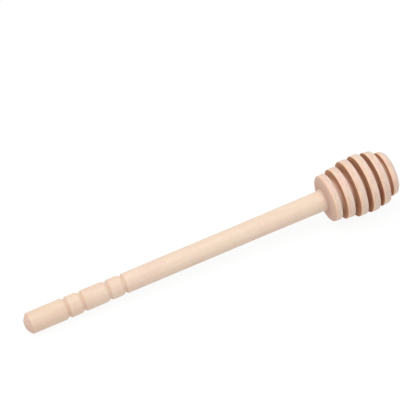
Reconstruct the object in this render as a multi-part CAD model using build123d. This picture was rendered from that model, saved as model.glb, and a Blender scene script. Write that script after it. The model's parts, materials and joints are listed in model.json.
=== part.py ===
from build123d import *
import os
from math import atan2, cos, degrees, radians, sin, tan

# A turned wooden honey dipper, lying on its side on a flat surface.
# It is two turned pieces. The handle ends in a round tenon, which is glued into
# a blind socket in the back of the grooved head.
# Sizes are in millimetres. Both pieces are drawn along +X as they stand in the
# finished dipper, from the butt of the handle at 0 to the tip of the head, and
# then the two are laid down together.

# Handle, from the butt to its shoulder against the head
handle_length = 130.05
butt_radius = 4.4
shank_radius = 4.1
neck_radius = 4.24
neck_flare_length = 24.0

# Rounded end of the butt
butt_end_radius = 1.7
butt_bevel_length = 2.1
butt_end_blend = 1.2
butt_side_blend = 2.2

# Two pairs of shallow grooves, which leave three beads for the fingers
first_groove_place = 17.55
pair_spacing = 6.6
pair_gap = 11.2
grip_groove_mouth = 2.5
grip_groove_floor = 1.55
grip_groove_depth = 0.68
grip_lip_blend = 0.3
grip_floor_blend = 0.4

# Small coved foot that hides the seam between the handle and the head
foot_length = 0.9
foot_radius = 4.95
foot_cove = 1.3

# Glued joint
tenon_radius = 3.0
tenon_length = 14.0
tenon_bevel = 0.5
glue_gap = 0.05
socket_end_gap = 0.8

# Head: a row of thin discs on a slim hub
head_radius = 11.97
disc_count = 6
disc_pitch = 5.24
honey_groove_mouth = 2.0
honey_groove_base = 1.6
honey_floor_blend = 0.4
hub_radius = 5.8
back_face_rise = 0.62
first_rim_blend = 1.1
rim_tip_blend = 0.3
tip_disc_length = 3.25
tip_round = 2.4

# Each disc's rim radius as a share of the head's, at its handle side and at its
# tip side. The discs swell to the fourth one and fall away to the tip.
rim_handle_shares = (0.810, 0.878, 0.978, 1.000, 0.950, 0.771)
rim_tip_shares = (0.812, 0.886, 0.974, 0.992, 0.908, 0.756)

# The share of the straight wall beside a corner that its blend may take
blend_share = 0.9


def blended(outline):
    """Each corner's blend radius, held back where the walls beside it are short."""
    corners = [Vector(along, radius) for along, radius, blend in outline]
    blends = []
    taken = 0
    for index, corner in enumerate(corners):
        before = corner - corners[index - 1]
        after = corners[(index + 1) % len(corners)] - corner
        half_turn = tan(radians(before.get_angle(after)) / 2)
        room = blend_share * min(before.length - taken, after.length)
        taken = min(outline[index][-1] * half_turn, room)
        blends.append(taken / half_turn)
    return corners, blends


def turned(outline):
    """A solid of revolution about X from corners of (along, radius, blend)."""
    corners, blends = blended(outline)
    return revolve(make_face(FilletPolyline(*corners, radius=blends, close=True)), Axis.X)


def butt_side_start():
    """Where the butt's straight side starts, past its rounded end."""
    turn = atan2(butt_radius - butt_end_radius, butt_bevel_length)
    return butt_bevel_length + butt_side_blend * tan(turn / 2)


def groove_places():
    """Centres of the grip's grooves, in two pairs."""
    second_pair_place = first_groove_place + pair_spacing + pair_gap
    return [
        first_place + step
        for first_place in (first_groove_place, second_pair_place)
        for step in (0, pair_spacing)
    ]


def grip_radius(along):
    """The grip's outer radius: the butt's at the first groove, the shank's at the last."""
    places = groove_places()
    share = (along - places[0]) / (places[-1] - places[0])
    return butt_radius + (shank_radius - butt_radius) * min(max(share, 0), 1)


def grip_groove(place):
    """One shallow groove with sloping sides and eased lips."""
    half_mouth = grip_groove_mouth / 2
    half_floor = grip_groove_floor / 2
    floor = grip_radius(place) - grip_groove_depth
    return [
        (place - half_mouth, grip_radius(place - half_mouth), grip_lip_blend),
        (place - half_floor, floor, grip_floor_blend),
        (place + half_floor, floor, grip_floor_blend),
        (place + half_mouth, grip_radius(place + half_mouth), grip_lip_blend),
    ]


def handle_outline():
    """The handle's upper outline, from the middle of the butt to the tenon's end."""
    outline = [
        (0, 0, 0),
        (0, butt_end_radius, butt_end_blend),
        (butt_bevel_length, butt_radius, butt_side_blend),
    ]
    for place in groove_places():
        outline += grip_groove(place)
    foot_start = handle_length - foot_length
    tenon_end = handle_length + tenon_length
    outline += [
        (foot_start - neck_flare_length, shank_radius, 0),
        (foot_start, neck_radius, foot_cove),
        (handle_length, foot_radius, 0),
        (handle_length, tenon_radius, 0),
        (tenon_end - tenon_bevel, tenon_radius, 0),
        (tenon_end, tenon_radius - tenon_bevel, 0),
        (tenon_end, 0, 0),
    ]
    return outline


def disc_places():
    """Where each disc's rim starts, on its handle side."""
    first_rim = handle_length + back_face_rise
    return [first_rim + index * disc_pitch for index in range(disc_count)]


def disc_rim(index, length, tip_side_blend):
    """One disc's rim. Its handle-side edge is crisp, but for the first disc's."""
    place = disc_places()[index]
    handle_side_blend = first_rim_blend if index == 0 else 0
    return [
        (place, head_radius * rim_handle_shares[index], handle_side_blend),
        (place + length, head_radius * rim_tip_shares[index], tip_side_blend),
    ]


def groove_floor(next_rim):
    """The floor of a honey groove, narrower than its mouth, before the next rim."""
    draft = (honey_groove_mouth - honey_groove_base) / 2
    return [
        (next_rim - honey_groove_mouth + draft, hub_radius, honey_floor_blend),
        (next_rim - draft, hub_radius, honey_floor_blend),
    ]


def head_outline():
    """The head's upper outline, from its seat on the handle's foot to the socket."""
    socket_radius = tenon_radius + glue_gap
    socket_end = handle_length + tenon_length + socket_end_gap
    outline = [
        (handle_length, socket_radius, 0),
        (handle_length, foot_radius, 0),
    ]
    for index, place in enumerate(disc_places()[:-1]):
        outline += disc_rim(index, disc_pitch - honey_groove_mouth, rim_tip_blend)
        outline += groove_floor(place + disc_pitch)
    outline += disc_rim(disc_count - 1, tip_disc_length, tip_round)
    outline += [
        (disc_places()[-1] + tip_disc_length, 0, 0),
        (socket_end, 0, 0),
        (socket_end, socket_radius, 0),
    ]
    return outline


def resting_tilt():
    """The dipper's slope when it lies on its butt and on the disc it meets first."""
    tilts = []
    for place, share in zip(disc_places(), rim_handle_shares):
        rise = head_radius * share - butt_radius
        tilts.append(atan2(rise, place - butt_side_start()))
    return max(tilts)


def laid_down(pieces, tilt):
    """The pieces lying on z = 0, centred over the origin, with the head towards +X."""
    leaning = [piece.rotate(Axis.Y, -degrees(tilt)) for piece in pieces]
    box = leaning[0].bounding_box()
    for piece in leaning[1:]:
        box = box.add(piece.bounding_box())
    shift = Vector(-box.center().X, -box.center().Y, -box.min.Z)
    return [piece.translate(shift) for piece in leaning], shift


tilt = resting_tilt()
(handle, head), shift = laid_down([turned(handle_outline()), turned(head_outline())], tilt)

os.makedirs("parts", exist_ok=True)
export_step(handle, "parts/handle.step")
export_step(head, "parts/head.step")

# The straight side of the butt, where the dipper fits a round holder
peg_start = butt_side_start()
peg_end = first_groove_place - grip_groove_mouth / 2 - grip_lip_blend
towards_head = Vector(cos(tilt), 0, sin(tilt))
print("axis towards the head", towards_head, "tilt", degrees(tilt))
print("peg radius", butt_radius, "length", peg_end - peg_start)
print("peg middle", shift + towards_head * ((peg_start + peg_end) / 2))
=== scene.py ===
"""A turned wooden honey dipper: its two pieces, their wood, and a plain studio.

The handle and the head are both turned by the same geometry nodes tree, each from
its own outline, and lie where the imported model's mount puts them.
"""

import json
import math

import bpy
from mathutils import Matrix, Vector


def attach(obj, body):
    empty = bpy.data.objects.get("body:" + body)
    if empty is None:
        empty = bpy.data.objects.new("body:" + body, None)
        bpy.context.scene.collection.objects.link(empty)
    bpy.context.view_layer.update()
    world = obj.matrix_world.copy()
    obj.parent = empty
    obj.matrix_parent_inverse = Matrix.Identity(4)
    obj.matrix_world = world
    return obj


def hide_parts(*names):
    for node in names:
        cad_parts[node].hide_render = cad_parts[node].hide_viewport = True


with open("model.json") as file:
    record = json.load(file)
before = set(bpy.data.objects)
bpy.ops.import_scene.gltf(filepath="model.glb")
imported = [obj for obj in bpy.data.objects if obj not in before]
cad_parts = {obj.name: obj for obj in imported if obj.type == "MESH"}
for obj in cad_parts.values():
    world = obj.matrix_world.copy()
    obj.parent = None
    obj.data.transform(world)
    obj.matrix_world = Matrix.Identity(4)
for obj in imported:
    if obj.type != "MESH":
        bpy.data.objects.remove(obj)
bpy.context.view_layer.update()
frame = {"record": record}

MM = 0.001

# Handle, from the butt to its shoulder against the head
HANDLE_SIZES = {
    "Handle Length": 130.05 * MM,
    "Butt Radius": 4.4 * MM,
    "Shank Radius": 4.1 * MM,
    "Neck Radius": 4.24 * MM,
    "Neck Flare Length": 24.0 * MM,
    "Butt End Radius": 2.0 * MM,
    "Butt Bevel Length": 1.65 * MM,
    "Butt End Blend": 1.2 * MM,
    "Butt Side Blend": 1.0 * MM,
    "First Groove Place": 17.55 * MM,
    "Pair Spacing": 6.6 * MM,
    "Pair Gap": 11.2 * MM,
    "Grip Groove Mouth": 2.2 * MM,
    "Grip Groove Floor": 0.3 * MM,
    "Grip Groove Shift": 0.25 * MM,
    "Grip Floor Shift": 0.35 * MM,
    "Grip Groove Depth": 0.72 * MM,
    "Grip Butt Lip Blend": 0.7 * MM,
    "Grip Head Lip Blend": 0.25 * MM,
    "Grip Floor Blend": 0.7 * MM,
    "Foot Length": 0.9 * MM,
    "Foot Radius": 4.95 * MM,
    "Foot Cove": 1.3 * MM,
    "Tenon Radius": 3.0 * MM,
    "Tenon Length": 14.0 * MM,
    "Tenon Bevel": 0.5 * MM,
}

# Room for glue in the socket, round the tenon and past its end
GLUE_GAP = 0.05 * MM
SOCKET_END_GAP = 0.8 * MM

# Head, from its seat on the handle's foot to the tip
HEAD_SIZES = {
    "Seat Place": HANDLE_SIZES["Handle Length"],
    "Seat Radius": HANDLE_SIZES["Foot Radius"],
    "Socket Radius": HANDLE_SIZES["Tenon Radius"] + GLUE_GAP,
    "Socket Depth": HANDLE_SIZES["Tenon Length"] + SOCKET_END_GAP,
    "Discs": 6,
    "Disc Pitch": 5.24 * MM,
    "Head Radius": 11.97 * MM,
    "Hub Radius": 5.8 * MM,
    "Honey Groove Mouth": 2.0 * MM,
    "Honey Groove Base": 1.6 * MM,
    "Honey Floor Blend": 0.4 * MM,
    "Back Face Rise": 0.62 * MM,
    "First Rim Blend": 1.1 * MM,
    "Rim Handle Blend": 0.25 * MM,
    "Rim Tip Blend": 0.3 * MM,
    "Tip Disc Length": 3.25 * MM,
    "Tip Round": 2.4 * MM,
}

# Each rim's radius as a share of the head's, at its handle side and at its tip side
RIM_HANDLE_SHARES = (0.810, 0.878, 0.978, 1.000, 0.950, 0.771)
RIM_TIP_SHARES = (0.812, 0.886, 0.974, 0.992, 0.908, 0.756)

# How finely and how evenly the pieces are turned
TURNING = {
    "Blend Steps": 5,
    "Ring Spacing": 0.6 * MM,
    "Steps Around": 160,
    "Unevenness": 0.035 * MM,
    "Unevenness Size": 4.0 * MM,
}
UNEVENNESS_DETAIL = 3.0

# How far apart the seam's points may be to become one
MERGE_DISTANCE = 0.002 * MM

# Half a place in a list. It keeps whole numbers clear of the limits they are held against
HALF_PLACE = 0.5

# Corners in an outline: at the butt, in each groove, in the whole grip, in each disc
BUTT_CORNERS = 3
GROOVE_CORNERS = 4
GROOVES_IN_PAIR = 2
GRIP_CORNERS = 2 * GROOVES_IN_PAIR * GROOVE_CORNERS
DISC_CORNERS = 4

# The sizes that the wood's zones of another tone follow: darker end grain, painted shade and
# painted light
ZONE_SIZES = {
    **{label: HANDLE_SIZES[label] for label in (
        "First Groove Place", "Pair Spacing", "Pair Gap", "Grip Groove Mouth",
        "Grip Groove Depth", "Butt Radius", "Shank Radius", "Foot Radius",
    )},
    **{label: HEAD_SIZES[label] for label in (
        "Seat Place", "Disc Pitch", "Hub Radius", "Head Radius",
    )},
    "Discs": float(HEAD_SIZES["Discs"]),
    "First Rim": HEAD_SIZES["Seat Place"] + HEAD_SIZES["Back Face Rise"],
    # How far the painted shadow reaches from the butt and the painted shade from the seam, where
    # the painted shade on the groove walls lies, and how wide the painted light and shade along
    # each rim are
    "Butt Painted Shadow Length": 50.0 * MM,
    "Seam Tone Rise": 0.7 * MM,
    "Seam Tone Width": 3.0 * MM,
    "Wall Grain And Shade Start": 0.3 * MM,
    "Wall Grain And Shade End": 2.4 * MM,
    "Upper Wall Shade Margin": 1.0 * MM,
    "Rim Light Width": 1.3 * MM,
}

# Where a zone's tone starts and where it is full. A facing is the share of a surface's
# direction that lies along the axis: end grain is darker, and faces turned towards the butt
# get painted shade. The painted light and shade along each rim fade over shares of the
# edge's width
END_GRAIN_FACING = (0.7, 0.98)
SHADED_FACING = (0.2, 0.6)
RIM_LIGHT_FADE_SHARES = (1.25, 0.75)

# The share of a grip groove's depth at which its painted shade starts
GRIP_SHADE_START_SHARE = 0.2

# In disc pitches: how far past the first rim the honey grooves' darker end grain and painted
# shade start, how long before the end of the last pitch they stop, and where the rims'
# painted light and shade start
GROOVES_START_PITCHES = 0.3
GROOVES_END_PITCHES = 0.7
RIMS_START_PITCHES = -0.05

# The tree's middle, across and above the dipper's own axis
PITH_PLACE = (-38.0 * MM, -61.0 * MM)

# How far the growth rings wander. That noise and the one of the broad patches each have
# a scale, in waves to a metre, and a squeeze along the axis that draws them out
RING_WANDER = 5.0 * MM
WANDER_SCALE = 55.0
WANDER_SQUEEZE = 0.25
PATCH_SCALE = 170.0
PATCH_SQUEEZE = 0.35

# Flecks in a fibre's width or length, and the middle, detail and roughness of the noises
FLECK_SCALE = 0.55
NOISE_MIDDLE = 0.5
FIBRE_DETAIL = 4.0
FIBRE_ROUGHNESS = 0.65
SOFT_ROUGHNESS = 0.6

# Where each of the wood's own tones starts and where it is full. In a year's growth the
# late wood rises slowly and ends at once
LATE_WOOD_RISE = (0.35, 0.92)
LATE_WOOD_END = (1.0, 0.93)
FIBRE_RISE = (0.38, 0.72)
FLECK_EDGE = (0.42, 0.16)
FLECK_CHANCE = (0.62, 0.75)
BLUSH_RISE = (0.42, 0.68)
LINE_RISE = (0.45, 0.7)

# How much of the surface's height comes from each of the grain's forms
FIBRE_HEIGHT = 0.7
FLECK_HEIGHT = -0.5
LATE_WOOD_HEIGHT = -0.15

# The lathe's marks on a face, as a share of how many there are along a side
FACE_MARK_SHARE = 0.83

# The relief that is too fine for the mesh
GRAIN_RELIEF_SHARE = 0.6
MARKS_RELIEF_SHARE = 0.4
RELIEF_STRENGTH = 0.5
RELIEF_DEPTH = 0.03 * MM

# How much rougher end grain is, how much the roughness follows the grain's height, and
# the height at which that adds nothing
END_ROUGHNESS_RISE = 0.15
GRAIN_ROUGHNESS_SWING = 0.1
MIDDLE_HEIGHT = 0.35

# The finish that both pieces share
SANDED_WOOD = {
    "IOR": 1.45,
    "Specular IOR Level": 0.35,
    "Subsurface Weight": 0.12,
    "Subsurface Radius": (1.0, 0.55, 0.3),
    "Subsurface Scale": 0.8 * MM,
}

# Where the mount's peg starts and ends along the handle, on the butt's straight side
PEG_START = 3.176 * MM
PEG_END = 16.0 * MM

# The camera looks down on the dipper from the handle's side. Its lens follows from how
# many pixels a millimetre takes at the target
VIEW_AZIMUTH = math.radians(-26.2)
VIEW_ELEVATION = math.radians(50.4)
VIEW_DISTANCE = 1.5
VIEW_TARGET = Vector((10.0 * MM, 29.72 * MM, 0.0))
PIXELS_PER_MM = 2.502
SENSOR_WIDTH = 36.0
PHOTO_WIDTH = 400
VIEW_DEPTH = (0.01, 20.0)

# The light: one large soft lamp, and the room round it
LAMP_SIZE = 1.2
LAMP_POWER = 9.5
LAMP_PLACE = (-0.25, 0.0, 1.27)
AMBIENT_STRENGTH = 0.6

# The floor lights the dipper from below with its own shade. The camera sees a glow
# instead, and a darker paint under it that takes the shadows
FLOOR_REACH = 3.0
FLOOR_SHADE = 0.8
FLOOR_SHADOW_SHADE = 0.1
FLOOR_GLOW = 0.91

# The rays that show a thing to the camera, straight or by reflection
DIRECT_RAYS = ("Is Camera Ray", "Is Glossy Ray", "Is Transmission Ray")


def srgb(red, green, blue):
    """A colour written as it shows, in shares of 255, as the linear colour of a node."""
    def linear(level):
        share = level / 255
        return share / 12.92 if share <= 0.04045 else ((share + 0.055) / 1.055) ** 2.4
    return (linear(red), linear(green), linear(blue), 1.0)


def grey(shade):
    return (shade, shade, shade, 1.0)


WHITE = grey(1.0)

# The tint of the lathe's fine lines
LINE_TONE = srgb(222, 212, 206)


class Value:
    """One output of a node. A sum of values adds the nodes that work it out."""

    def __init__(self, graph, socket):
        self.graph = graph
        self.socket = socket

    def __add__(self, other):
        return self.graph.math("ADD", self, other)

    def __sub__(self, other):
        return self.graph.math("SUBTRACT", self, other)

    def __rsub__(self, other):
        return self.graph.math("SUBTRACT", other, self)

    def __mul__(self, other):
        return self.graph.math("MULTIPLY", self, other)

    def __truediv__(self, other):
        return self.graph.math("DIVIDE", self, other)

    def __rtruediv__(self, other):
        return self.graph.math("DIVIDE", other, self)


class Graph:
    """Adds nodes to one tree, each to the right of the nodes that feed it."""

    COLUMN_WIDTH = 190
    ROW_HEIGHT = 220

    # Where the colours stand among a Mix node's inputs, and the mixed one in its outputs
    MIX_FIRST = 6
    MIX_SECOND = 7
    MIX_RESULT = 2

    def __init__(self, tree):
        self.tree = tree
        self.columns = {}
        self.rows = {}

    def node(self, kind, feeds=None, **settings):
        """A new node. feeds gives its inputs by name or number."""
        node = self.tree.nodes.new(kind)
        for name, setting in settings.items():
            setattr(node, name, setting)
        for key, value in (feeds or {}).items():
            self.feed(node.inputs[key], value)
        sources = [link.from_node.name for socket in node.inputs for link in socket.links]
        column = max((self.columns[name] for name in sources), default=-1) + 1
        self.columns[node.name] = column
        self.rows[column] = self.rows.get(column, 0) + 1
        node.location = (column * self.COLUMN_WIDTH, -self.rows[column] * self.ROW_HEIGHT)
        return node

    def feed(self, socket, value):
        """Links a value to a socket, or writes a plain number or colour in it."""
        if isinstance(value, Value):
            self.tree.links.new(value.socket, socket)
        else:
            socket.default_value = value

    def out(self, kind, feeds=None, output=0, **settings):
        """One output of a new node."""
        return Value(self, self.node(kind, feeds, **settings).outputs[output])

    def math(self, operation, *values):
        return self.out("ShaderNodeMath", dict(enumerate(values)), operation=operation)

    def vector_math(self, operation, *values, output="Vector"):
        feeds = dict(enumerate(values))
        return self.out("ShaderNodeVectorMath", feeds, output, operation=operation)

    def vector(self, x, y, z):
        return self.out("ShaderNodeCombineXYZ", {"X": x, "Y": y, "Z": z})

    def parts(self, vector):
        """The three numbers in a vector."""
        node = self.node("ShaderNodeSeparateXYZ", {"Vector": vector})
        return [Value(self, socket) for socket in node.outputs]

    def between(self, value, low, high):
        """1 where a number lies between two others."""
        return self.math("GREATER_THAN", value, low) * self.math("LESS_THAN", value, high)

    def ramp(self, value, start, end):
        """A smooth rise from 0 to 1 while value goes from start to end."""
        feeds = {"Value": value, "From Min": start, "From Max": end}
        return self.out("ShaderNodeMapRange", feeds, interpolation_type="SMOOTHSTEP")

    def straight_ramp(self, value, start, end, low, high):
        """A straight rise from low to high while value goes from start to end."""
        feeds = {"Value": value, "From Min": start, "From Max": end, "To Min": low, "To Max": high}
        return self.out("ShaderNodeMapRange", feeds)

    def noise(self, vector, scale, detail=2.0, roughness=0.5):
        feeds = {"Vector": vector, "Scale": scale, "Detail": detail, "Roughness": roughness}
        return self.out("ShaderNodeTexNoise", feeds, "Fac")

    def blend(self, share, first, second, blend_type="MIX"):
        """A mix of two colours."""
        feeds = {"Factor": share, self.MIX_FIRST: first, self.MIX_SECOND: second}
        settings = {"data_type": "RGBA", "blend_type": blend_type}
        return self.out("ShaderNodeMix", feeds, self.MIX_RESULT, **settings)

    def pick(self, index, *choices):
        """The number at that place in a list."""
        node = self.node("GeometryNodeIndexSwitch", data_type="FLOAT")
        while len(node.index_switch_items) < len(choices):
            node.index_switch_items.new()
        self.feed(node.inputs[0], index)
        for place, choice in enumerate(choices, start=1):
            self.feed(node.inputs[place], choice)
        return Value(self, node.outputs[0])

    def either(self, test, when_true, when_false):
        """One of two numbers."""
        feeds = {"Switch": test, "True": when_true, "False": when_false}
        return self.out("GeometryNodeSwitch", feeds, input_type="FLOAT")


SOCKETS = {float: "NodeSocketFloat", int: "NodeSocketInt", tuple: "NodeSocketColor"}


def new_tree(name, kind, inputs, outputs):
    """An empty tree with named inputs and outputs. An input's socket follows its
    starting value, or is the kind of socket that is given instead of one."""
    tree = bpy.data.node_groups.new(name, kind)
    for label, start in inputs.items():
        socket_kind = start if isinstance(start, str) else SOCKETS[type(start)]
        socket = tree.interface.new_socket(label, in_out="INPUT", socket_type=socket_kind)
        if not isinstance(start, str):
            socket.default_value = start
    for label, socket_kind in outputs.items():
        tree.interface.new_socket(label, in_out="OUTPUT", socket_type=socket_kind)
    graph = Graph(tree)
    group_input = graph.node("NodeGroupInput")
    return graph, {label: Value(graph, group_input.outputs[label]) for label in inputs}


def corner_line(graph, count, along, radius):
    """A line through the corners of an outline, with X along the axis and Y away from it."""
    line = graph.out("GeometryNodeCurvePrimitiveLine")
    line = graph.out("GeometryNodeResampleCurve", {"Curve": line, "Count": count}, mode="COUNT")
    feeds = {"Geometry": line, "Position": graph.vector(along, radius, 0.0)}
    return graph.out("GeometryNodeSetPosition", feeds)


def lathe_tree():
    """The tree that turns an outline: it rounds the corners, sweeps the line round X,
    makes it a little uneven, as hand sanding does, and lays it down."""
    inputs = {"Outline": "NodeSocketGeometry", "Blend Radius": 0.0, **TURNING}
    inputs.update({"Lean": 0.0, "Place": "NodeSocketVector"})
    graph, given = new_tree("Lathe", "GeometryNodeTree", inputs, {"Mesh": "NodeSocketGeometry"})

    feeds = {"Curve": given["Outline"], "Count": given["Blend Steps"]}
    feeds.update({"Radius": given["Blend Radius"], "Limit Radius": True})
    line = graph.out("GeometryNodeFilletCurve", feeds, mode="POLY")

    here = graph.out("GeometryNodeInputPosition")
    index = graph.out("GeometryNodeInputIndex")
    following = graph.out(
        "GeometryNodeFieldAtIndex", {"Value": here, "Index": index + 1}, data_type="FLOAT_VECTOR"
    )
    run = graph.vector_math("DISTANCE", here, following, output="Value")
    cuts = graph.math("FLOOR", run / given["Ring Spacing"])
    line = graph.out("GeometryNodeSubdivideCurve", {"Curve": line, "Cuts": cuts})

    rings = graph.out(
        "GeometryNodeAttributeDomainSize", {"Geometry": line}, "Point Count", component="CURVE"
    )
    across = given["Steps Around"] + 1
    grid = graph.out("GeometryNodeMeshGrid", {"Vertices X": rings, "Vertices Y": across})
    ring = graph.math("FLOOR", (index + HALF_PLACE) / across)
    feeds = {"Geometry": line, "Value": here, "Index": ring}
    point = graph.out("GeometryNodeSampleIndex", feeds, data_type="FLOAT_VECTOR", domain="POINT")
    along, radius, _ = graph.parts(point)
    turn = (index - ring * across) / given["Steps Around"] * math.tau
    sine = graph.math("SINE", turn)
    cosine = graph.math("COSINE", turn)
    feeds = {"Geometry": grid, "Position": graph.vector(along, radius * sine, radius * cosine)}
    mesh = graph.out("GeometryNodeSetPosition", feeds)
    mesh = graph.out("GeometryNodeMergeByDistance", {"Geometry": mesh, "Distance": MERGE_DISTANCE})

    uneven = graph.noise(here, 1.0 / given["Unevenness Size"], UNEVENNESS_DETAIL)
    feeds = {0: graph.out("GeometryNodeInputNormal"), "Scale": uneven * given["Unevenness"] * -1.0}
    inwards = graph.out("ShaderNodeVectorMath", feeds, operation="SCALE")
    mesh = graph.out("GeometryNodeSetPosition", {"Geometry": mesh, "Offset": inwards})
    mesh = graph.out("GeometryNodeSetShadeSmooth", {"Geometry": mesh})
    rotation = graph.vector(0.0, given["Lean"] * -1.0, 0.0)
    feeds = {"Geometry": mesh, "Translation": given["Place"], "Rotation": rotation}
    mesh = graph.out("GeometryNodeTransform", feeds)
    graph.node("NodeGroupOutput", {"Mesh": mesh})
    return graph.tree


def turned_tree(name, sizes, outline_maker, lathe):
    """A piece's own tree: its outline from named sizes, turned on the shared lathe."""
    inputs = {**sizes, **TURNING, "Lean": 0.0, "Place": "NodeSocketVector"}
    inputs["Wood"] = "NodeSocketMaterial"
    graph, given = new_tree(name, "GeometryNodeTree", inputs, {"Mesh": "NodeSocketGeometry"})
    outline, blend_radius = outline_maker(graph, given)
    feeds = {"Outline": outline, "Blend Radius": blend_radius}
    feeds.update({label: given[label] for label in (*TURNING, "Lean", "Place")})
    mesh = graph.out("GeometryNodeGroup", feeds, node_tree=lathe)
    mesh = graph.out("GeometryNodeRealizeInstances", {"Geometry": mesh})
    mesh = graph.out("GeometryNodeSetMaterial", {"Geometry": mesh, "Material": given["Wood"]})
    graph.node("NodeGroupOutput", {"Mesh": mesh})
    return graph.tree


def handle_outline(graph, size):
    """The handle's corners, from the middle of the butt to the tenon's end: three at
    the butt, four for each of the grip's grooves, and seven from the shank on."""
    index = graph.out("GeometryNodeInputIndex")
    from_grip = index - BUTT_CORNERS
    groove = graph.math("FLOOR", (from_grip + HALF_PLACE) / GROOVE_CORNERS)
    corner = from_grip - groove * GROOVE_CORNERS
    pair = graph.math("FLOOR", (groove + HALF_PLACE) / GROOVES_IN_PAIR)
    first = size["First Groove Place"]
    pitch = size["Pair Spacing"] + size["Pair Gap"]
    place = first + (groove - pair * GROOVES_IN_PAIR) * size["Pair Spacing"] + pair * pitch

    def grip_radius(along):
        taper_length = size["Pair Spacing"] + pitch
        return graph.straight_ramp(
            along - first, 0.0, taper_length, size["Butt Radius"], size["Shank Radius"]
        )

    half_mouth = size["Grip Groove Mouth"] / 2
    half_floor = size["Grip Groove Floor"] / 2
    middle = place - size["Grip Groove Shift"]
    start = middle - half_mouth
    end = middle + half_mouth
    floor = grip_radius(place) - size["Grip Groove Depth"]
    deepest = middle + size["Grip Floor Shift"]
    bottom = size["Grip Floor Blend"]
    groove_along = graph.pick(corner, start, deepest - half_floor, deepest + half_floor, end)
    groove_radius = graph.pick(corner, grip_radius(start), floor, floor, grip_radius(end))
    groove_blend = graph.pick(
        corner, size["Grip Butt Lip Blend"], bottom, bottom, size["Grip Head Lip Blend"]
    )

    shoulder = size["Handle Length"]
    foot_start = shoulder - size["Foot Length"]
    tenon_end = shoulder + size["Tenon Length"]
    tenon = size["Tenon Radius"]
    bevel = size["Tenon Bevel"]
    ends = (
        (0.0, 0.0, 0.0),
        (0.0, size["Butt End Radius"], size["Butt End Blend"]),
        (size["Butt Bevel Length"], size["Butt Radius"], size["Butt Side Blend"]),
        (foot_start - size["Neck Flare Length"], size["Shank Radius"], 0.0),
        (foot_start, size["Neck Radius"], size["Foot Cove"]),
        (shoulder, size["Foot Radius"], 0.0),
        (shoulder, tenon, 0.0),
        (tenon_end - bevel, tenon, 0.0),
        (tenon_end, tenon - bevel, 0.0),
        (tenon_end, 0.0, 0.0),
    )
    grip_end = GRIP_CORNERS - HALF_PLACE
    in_grip = graph.between(from_grip, -HALF_PLACE, grip_end)
    is_past_grip = graph.math("GREATER_THAN", from_grip, grip_end)
    end_corner = graph.either(is_past_grip, index - GRIP_CORNERS, index)
    along, radius, blend = (
        graph.either(in_grip, in_groove, graph.pick(end_corner, *choices))
        for in_groove, choices in zip((groove_along, groove_radius, groove_blend), zip(*ends))
    )
    return corner_line(graph, len(ends) + GRIP_CORNERS, along, radius), blend


def head_outline(graph, size):
    """The head's corners, four for the socket and seat and then four for each disc and
    the groove after it. The last disc has three, and ends in the middle of the tip."""
    index = graph.out("GeometryNodeInputIndex")
    disc = graph.math("FLOOR", (index + HALF_PLACE) / DISC_CORNERS) - 1
    corner = index - (disc + 1) * DISC_CORNERS
    is_seat = graph.math("LESS_THAN", disc, -HALF_PLACE)
    is_tip = graph.math("GREATER_THAN", disc, size["Discs"] - 1 - HALF_PLACE)

    rim = size["Seat Place"] + size["Back Face Rise"] + disc * size["Disc Pitch"]
    mouth_start = rim + size["Disc Pitch"] - size["Honey Groove Mouth"]
    rim_end = graph.either(is_tip, rim + size["Tip Disc Length"], mouth_start)
    draft = (size["Honey Groove Mouth"] - size["Honey Groove Base"]) / 2
    floor_start = graph.either(is_tip, rim_end, mouth_start + draft)
    floor_end = rim + size["Disc Pitch"] - draft
    floor_radius = graph.either(is_tip, 0.0, size["Hub Radius"])
    handle_side = size["Head Radius"] * graph.pick(disc, *RIM_HANDLE_SHARES)
    tip_side = size["Head Radius"] * graph.pick(disc, *RIM_TIP_SHARES)
    tip_side_blend = graph.either(is_tip, size["Tip Round"], size["Rim Tip Blend"])

    seat = size["Seat Place"]
    socket = size["Socket Radius"]
    socket_end = seat + size["Socket Depth"]
    seat_along = graph.pick(corner, socket_end, socket_end, seat, seat)
    seat_radius = graph.pick(corner, 0.0, socket, socket, size["Seat Radius"])
    disc_along = graph.pick(corner, rim, rim_end, floor_start, floor_end)
    disc_radius = graph.pick(corner, handle_side, tip_side, floor_radius, floor_radius)
    floor_blend = size["Honey Floor Blend"]
    is_first = graph.math("LESS_THAN", disc, HALF_PLACE)
    handle_side_blend = graph.either(is_first, size["First Rim Blend"], size["Rim Handle Blend"])
    disc_blend = graph.pick(corner, handle_side_blend, tip_side_blend, floor_blend, floor_blend)
    along = graph.either(is_seat, seat_along, disc_along)
    radius = graph.either(is_seat, seat_radius, disc_radius)
    blend = graph.either(is_seat, 0.0, disc_blend)
    count = size["Discs"] * DISC_CORNERS + DISC_CORNERS - 1
    return corner_line(graph, count, along, radius), blend


def made_piece(name, tree, values):
    """The plain mesh that a tree makes from its named values."""
    piece = bpy.data.objects.new(name, bpy.data.meshes.new(name))
    bpy.context.scene.collection.objects.link(piece)
    modifier = piece.modifiers.new("Turning", "NODES")
    modifier.node_group = tree
    for item in tree.interface.items_tree:
        if item.in_out == "INPUT":
            modifier[item.identifier] = values[item.name]
    evaluated = piece.evaluated_get(bpy.context.evaluated_depsgraph_get())
    made = bpy.data.meshes.new_from_object(evaluated)
    piece.modifiers.clear()
    piece.data = made
    made.name = name
    return piece


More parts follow.
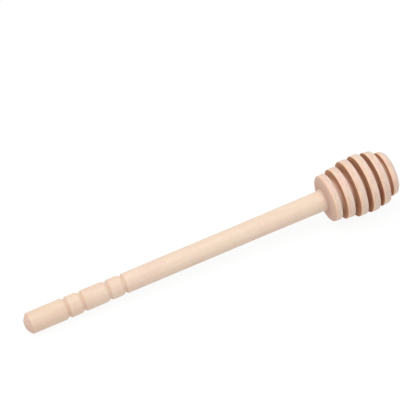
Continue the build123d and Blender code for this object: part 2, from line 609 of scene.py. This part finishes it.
def grain_tree():
    """The wood itself, as a solid that the pieces are cut from: growth rings, fibres
    along the grain, short dark flecks and broad patches of a pinker tone."""
    inputs = {
        "Position": "NodeSocketVector",
        "Pale": (1.0, 1.0, 1.0, 1.0),
        "Dark": (0.5, 0.5, 0.5, 1.0),
        "Blush": (1.0, 0.8, 0.8, 1.0),
        "Ring Spacing": 2.4 * MM,
        "Ring Contrast": 0.3,
        "Fibre Width": 0.22 * MM,
        "Fibre Length": 5.0 * MM,
        "Fibre Contrast": 0.3,
        "Fleck Contrast": 0.3,
        "Blush Amount": 0.4,
    }
    outputs = {"Colour": "NodeSocketColor", "Height": "NodeSocketFloat"}
    graph, given = new_tree("Wood grain", "ShaderNodeTree", inputs, outputs)
    along, across, up = graph.parts(given["Position"])

    squeezed = graph.vector(along * WANDER_SQUEEZE, across, up)
    wander = graph.noise(squeezed, WANDER_SCALE) - NOISE_MIDDLE
    beside_pith = graph.vector(0.0, across - PITH_PLACE[0], up - PITH_PLACE[1])
    from_pith = graph.vector_math("LENGTH", beside_pith, output="Value")
    growth = (from_pith + wander * RING_WANDER) / given["Ring Spacing"]
    year = graph.math("FRACT", growth)
    late_wood = graph.ramp(year, *LATE_WOOD_RISE) * graph.ramp(year, *LATE_WOOD_END)

    narrow = 1.0 / given["Fibre Width"]
    stretched = graph.vector(along / given["Fibre Length"], across * narrow, up * narrow)
    fibres = graph.noise(stretched, 1.0, FIBRE_DETAIL, FIBRE_ROUGHNESS)
    cells = graph.node("ShaderNodeTexVoronoi", {"Vector": stretched, "Scale": FLECK_SCALE})
    chance = graph.parts(Value(graph, cells.outputs["Color"]))[0]
    from_cell = Value(graph, cells.outputs["Distance"])
    flecks = graph.ramp(from_cell, *FLECK_EDGE) * graph.ramp(chance, *FLECK_CHANCE)

    squeezed = graph.vector(along * PATCH_SQUEEZE, across, up)
    patches = graph.noise(squeezed, PATCH_SCALE, roughness=SOFT_ROUGHNESS)
    blush = graph.ramp(patches, *BLUSH_RISE) * given["Blush Amount"]

    darkness = late_wood * given["Ring Contrast"]
    darkness = darkness + graph.ramp(fibres, *FIBRE_RISE) * given["Fibre Contrast"]
    darkness = darkness + flecks * given["Fleck Contrast"]
    darkness = graph.math("MINIMUM", darkness, 1.0)
    colour = graph.blend(blush, given["Pale"], given["Blush"])
    colour = graph.blend(darkness, colour, given["Dark"])
    height = fibres * FIBRE_HEIGHT + flecks * FLECK_HEIGHT + late_wood * LATE_WOOD_HEIGHT
    graph.node("NodeGroupOutput", {"Colour": colour, "Height": height})
    return graph.tree


def marks_tree():
    """The fine lines round the axis that turning and sanding leave, on the sides and on
    the faces alike."""
    inputs = {"Position": "NodeSocketVector", "Mark Spacing": 0.4 * MM, "Mark Length": 4.0 * MM}
    outputs = {"Height": "NodeSocketFloat", "Lines": "NodeSocketFloat"}
    graph, given = new_tree("Lathe marks", "ShaderNodeTree", inputs, outputs)
    along, across, up = graph.parts(given["Position"])
    radius = graph.vector_math("LENGTH", graph.vector(0.0, across, up), output="Value")
    path = (along + radius * FACE_MARK_SHARE) / given["Mark Spacing"]
    around = graph.vector(path, across / given["Mark Length"], up / given["Mark Length"])
    marks = graph.noise(around, 1.0, roughness=SOFT_ROUGHNESS)
    graph.node("NodeGroupOutput", {"Height": marks, "Lines": graph.ramp(marks, *LINE_RISE)})
    return graph.tree


def zones_tree():
    """Where the wood gets another tone: darker end grain on faces cut across the grain, and
    painted shade on faces turned towards the butt, in the grip's grooves, towards the butt,
    round the seam between the two pieces, and on the walls of the honey grooves, whose end
    grain is darker as well; and either side of a line along each rim, painted warm light at
    its handle-side edge and painted shade on its far side."""
    inputs = {"Position": "NodeSocketVector", "Facing": "NodeSocketVector", **ZONE_SIZES}
    outputs = (
        "End Grain", "Open Face Grain And Painted Shade", "Butt", "Grip Groove", "Seam",
        "Groove Wall Grain And Painted Shade", "Outer Wall Painted Shade", "Rim Edge Painted Light", "Rim Far Side Painted Shade",
    )
    sockets = {label: "NodeSocketFloat" for label in outputs}
    graph, size = new_tree("Turned zones", "ShaderNodeTree", inputs, sockets)
    along, across, up = graph.parts(size["Position"])
    radius = graph.vector_math("LENGTH", graph.vector(0.0, across, up), output="Value")
    towards_tip = graph.parts(size["Facing"])[0]
    end_grain = graph.ramp(graph.math("ABSOLUTE", towards_tip), *END_GRAIN_FACING)

    first = size["First Groove Place"]
    last = first + size["Pair Spacing"] * 2 + size["Pair Gap"]
    outer = graph.straight_ramp(along, first, last, size["Butt Radius"], size["Shank Radius"])
    depth = outer - radius
    mouth = size["Grip Groove Mouth"]
    in_grip = graph.between(along, first - mouth, last + mouth)
    deepest = size["Grip Groove Depth"]
    # Painted shade in the grip's grooves, fuller towards their floors
    grip_groove_shade = graph.ramp(depth, deepest * GRIP_SHADE_START_SHARE, deepest) * in_grip
    # Painted shadow: the handle grows darker towards the butt
    butt = graph.ramp(along, size["Butt Painted Shadow Length"], 0.0)
    # Painted shade round the seam, where the handle meets the head
    above_seam = radius - size["Foot Radius"] - size["Seam Tone Rise"]
    beside_seam = graph.vector(along - size["Seat Place"], above_seam, 0.0)
    from_seam = graph.vector_math("LENGTH", beside_seam, output="Value")
    seam = graph.ramp(from_seam, size["Seam Tone Width"], 0.0)

    steps = (along - size["First Rim"]) / size["Disc Pitch"]
    past_edge = (steps - graph.math("FLOOR", steps)) * size["Disc Pitch"]
    in_row = graph.between(steps, GROOVES_START_PITCHES, size["Discs"] - GROOVES_END_PITCHES)
    wall = end_grain * in_row
    height = radius - size["Hub Radius"]
    margin = size["Upper Wall Shade Margin"]
    wall_height = size["Head Radius"] - size["Hub Radius"]
    # The honey grooves' walls: darker end grain with painted shade
    groove_wall_grain_and_shade = wall * graph.ramp(height, size["Wall Grain And Shade Start"], size["Wall Grain And Shade End"])
    # Painted shade on the outer parts of the tallest walls
    outer_wall_shade = wall * graph.ramp(height, margin, wall_height - margin)
    # Painted shade on faces turned towards the butt, joined with the darker end grain
    butt_facing_shade = graph.ramp(towards_tip * -1.0, *SHADED_FACING) * (1.0 - in_grip)
    open_face_grain_and_shade = graph.math("MAXIMUM", butt_facing_shade, end_grain) * (1.0 - in_row)
    on_rim = graph.between(steps, RIMS_START_PITCHES, size["Discs"])
    # Either side of a line along each rim: painted warm light at its handle-side edge, and painted
    # shade on its far side
    fade_start, fade_end = (size["Rim Light Width"] * share for share in RIM_LIGHT_FADE_SHARES)
    rim_edge_light = graph.ramp(past_edge, fade_start, fade_end) * on_rim
    far_side_shade = graph.ramp(past_edge, fade_end, fade_start) * on_rim
    zones = (
        end_grain, open_face_grain_and_shade, butt, grip_groove_shade, seam, groove_wall_grain_and_shade, outer_wall_shade, rim_edge_light, far_side_shade
    )
    graph.node("NodeGroupOutput", dict(zip(outputs, zones)))
    return graph.tree


def place_group(graph, tree, feeds):
    """A shader group in a material, as its outputs by name."""
    group = graph.node("ShaderNodeGroup", feeds, node_tree=tree)
    return {socket.name: Value(graph, socket) for socket in group.outputs}


def wood(name, trees, lean, place, grain_look, tones, line_contrast, roughness):
    """Bare turned wood, sanded satin. tones gives the tint of each zone by its name: painted shade
    and painted light, some with darker end grain.
    """
    material = bpy.data.materials.new(name)
    material.use_nodes = True
    material.node_tree.nodes.clear()
    graph = Graph(material.node_tree)
    coordinates = graph.node("ShaderNodeTexCoord")
    turned_back = {"Rotation": (0.0, -lean, 0.0)}
    in_object = Value(graph, coordinates.outputs["Object"])
    normal = Value(graph, coordinates.outputs["Normal"])
    feeds = {"Vector": in_object, "Location": place, **turned_back}
    where = graph.out("ShaderNodeMapping", feeds, vector_type="TEXTURE")
    feeds = {"Vector": normal, **turned_back}
    facing = graph.out("ShaderNodeMapping", feeds, vector_type="TEXTURE")

    cut = place_group(graph, trees["grain"], {"Position": where, **grain_look})
    marks = place_group(graph, trees["marks"], {"Position": where})
    zones = place_group(graph, trees["zones"], {"Position": where, "Facing": facing})
    colour = cut["Colour"]
    # Each zone's tint multiplies the wood's colour: painted shade and painted light, with darker
    # end grain on the cut faces
    for zone, tone in tones.items():
        colour = graph.blend(zones[zone], colour, tone, "MULTIPLY")
    lines = marks["Lines"] * (1.0 - zones["End Grain"]) * line_contrast
    colour = graph.blend(lines, colour, LINE_TONE, "MULTIPLY")

    relief = cut["Height"] * GRAIN_RELIEF_SHARE + marks["Height"] * MARKS_RELIEF_SHARE
    feeds = {"Strength": RELIEF_STRENGTH, "Distance": RELIEF_DEPTH, "Height": relief}
    bump = graph.out("ShaderNodeBump", feeds)
    end_roughness = roughness + END_ROUGHNESS_RISE
    rough = graph.straight_ramp(zones["End Grain"], 0.0, 1.0, roughness, end_roughness)
    rough = rough + (cut["Height"] - MIDDLE_HEIGHT) * GRAIN_ROUGHNESS_SWING
    feeds = {"Base Color": colour, "Roughness": rough, "Normal": bump, **SANDED_WOOD}
    surface = graph.out("ShaderNodeBsdfPrincipled", feeds)
    graph.node("ShaderNodeOutputMaterial", {"Surface": surface})
    return material


# Where the dipper lies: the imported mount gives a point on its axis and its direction
peg = frame["record"]["mounts"][0]
axis = -Vector(peg["axis"]).normalized()
lean = math.atan2(axis.z, axis.x)
place = Vector(peg["pos_m"]) - axis * (PEG_START + PEG_END) / 2

trees = {"grain": grain_tree(), "marks": marks_tree(), "zones": zones_tree()}
handle_wood = wood(
    "Handle wood", trees, lean, place,
    {
        "Pale": srgb(245, 222, 200), "Dark": srgb(218, 186, 160), "Blush": srgb(242, 211, 194),
        "Ring Contrast": 0.1, "Fibre Contrast": 0.16, "Fleck Contrast": 0.15, "Blush Amount": 0.6,
    },
    # Darker end grain with painted shade on the open faces; painted shade in the grip's grooves,
    # towards the butt and round the seam
    {
        "Open Face Grain And Painted Shade": srgb(246, 240, 244), "Grip Groove": srgb(243, 239, 236),
        "Butt": srgb(250, 247, 243), "Seam": srgb(224, 214, 213),
    },
    line_contrast=0.15, roughness=0.5,
)
head_wood = wood(
    "Head wood", trees, lean, place,
    {
        "Pale": srgb(251, 222, 202), "Dark": srgb(221, 186, 162), "Blush": srgb(249, 212, 198),
        "Ring Contrast": 0.06, "Fibre Contrast": 0.12, "Fleck Contrast": 0.2, "Blush Amount": 0.5,
    },
    # Darker end grain with painted shade on the open faces and groove walls; painted shade round
    # the seam and on the outer walls; painted warm light at each rim's edge and painted shade on
    # its far side
    {
        "Open Face Grain And Painted Shade": srgb(232, 224, 222), "Seam": srgb(240, 234, 234),
        "Groove Wall Grain And Painted Shade": srgb(224, 199, 174), "Outer Wall Painted Shade": srgb(241, 229, 221),
        "Rim Edge Painted Light": srgb(255, 250, 242), "Rim Far Side Painted Shade": srgb(247, 251, 254),
    },
    line_contrast=0.5, roughness=0.55,
)

lathe = lathe_tree()
PIECES = {
    "handle": (HANDLE_SIZES, handle_outline, handle_wood),
    "head": (HEAD_SIZES, head_outline, head_wood),
}
for node_name, (sizes, outline_maker, material) in PIECES.items():
    tree = turned_tree("Turned " + node_name, sizes, outline_maker, lathe)
    values = {**sizes, **TURNING, "Lean": lean, "Place": place, "Wood": material}
    piece = made_piece("turned_" + node_name, tree, values)
    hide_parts(node_name)
    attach(piece, "root")
    node_name + "_wood"


def add_camera():
    """The camera, at the photograph's angle."""
    back = Vector((
        math.sin(VIEW_AZIMUTH) * math.cos(VIEW_ELEVATION),
        -math.cos(VIEW_AZIMUTH) * math.cos(VIEW_ELEVATION),
        math.sin(VIEW_ELEVATION),
    ))
    camera = bpy.data.objects.new("View", bpy.data.cameras.new("View"))
    camera.location = VIEW_TARGET + back * VIEW_DISTANCE
    camera.rotation_mode = "QUATERNION"
    camera.rotation_quaternion = (-back).to_track_quat("-Z", "Y")
    camera.data.sensor_width = SENSOR_WIDTH
    camera.data.lens = SENSOR_WIDTH * PIXELS_PER_MM / MM * VIEW_DISTANCE / PHOTO_WIDTH
    camera.data.clip_start, camera.data.clip_end = VIEW_DEPTH
    bpy.context.scene.collection.objects.link(camera)
    bpy.context.scene.camera = camera


def add_lamp():
    """One large soft lamp above, a little towards the butt."""
    lamp = bpy.data.lights.new("Overhead softbox", "AREA")
    lamp.shape = "SQUARE"
    lamp.size = LAMP_SIZE
    lamp.energy = LAMP_POWER
    lamp_object = bpy.data.objects.new("Overhead softbox", lamp)
    lamp_object.location = LAMP_PLACE
    lamp_object.rotation_mode = "QUATERNION"
    lamp_object.rotation_quaternion = lamp_object.location.to_track_quat("Z", "Y")
    bpy.context.scene.collection.objects.link(lamp_object)


def seen_directly(graph):
    """1 for rays that show a thing to the camera, straight or by reflection."""
    rays = graph.node("ShaderNodeLightPath")
    kinds = [Value(graph, rays.outputs[name]) for name in DIRECT_RAYS]
    return graph.math("MAXIMUM", graph.math("MAXIMUM", kinds[0], kinds[1]), kinds[2])


def add_surround():
    """The room's even light, which the camera sees as white."""
    world = bpy.data.worlds.new("Surround")
    world.use_nodes = True
    world.node_tree.nodes.clear()
    graph = Graph(world.node_tree)
    feeds = {"Color": WHITE, "Strength": AMBIENT_STRENGTH}
    ambient = graph.out("ShaderNodeBackground", feeds)
    white = graph.out("ShaderNodeBackground", {"Color": WHITE, "Strength": 1.0})
    feeds = {0: seen_directly(graph), 1: ambient, 2: white}
    surround = graph.out("ShaderNodeMixShader", feeds)
    graph.node("ShaderNodeOutputWorld", {"Surface": surround})
    bpy.context.scene.world = world


def floor_paint():
    """Matt white. To the camera it is whiter than it is to the light in the room."""
    material = bpy.data.materials.new("Floor")
    material.use_nodes = True
    material.node_tree.nodes.clear()
    graph = Graph(material.node_tree)
    matt = graph.out("ShaderNodeBsdfDiffuse", {"Color": grey(FLOOR_SHADE)})
    shadowed = graph.out("ShaderNodeBsdfDiffuse", {"Color": grey(FLOOR_SHADOW_SHADE)})
    glow = graph.out("ShaderNodeEmission", {"Color": WHITE, "Strength": FLOOR_GLOW})
    pale = graph.out("ShaderNodeAddShader", {0: shadowed, 1: glow})
    surface = graph.out("ShaderNodeMixShader", {0: seen_directly(graph), 1: matt, 2: pale})
    graph.node("ShaderNodeOutputMaterial", {"Surface": surface})
    return material


def add_floor():
    """The flat surface that the dipper lies on."""
    mesh = bpy.data.meshes.new("Floor")
    reach = FLOOR_REACH
    corners = [(-reach, -reach, 0), (reach, -reach, 0), (reach, reach, 0), (-reach, reach, 0)]
    mesh.from_pydata(corners, [], [(0, 1, 2, 3)])
    mesh.materials.append(floor_paint())
    floor = bpy.data.objects.new("Floor", mesh)
    bpy.context.scene.collection.objects.link(floor)


add_camera()
add_lamp()
add_surround()
add_floor()
bpy.context.scene.view_settings.view_transform = "Standard"
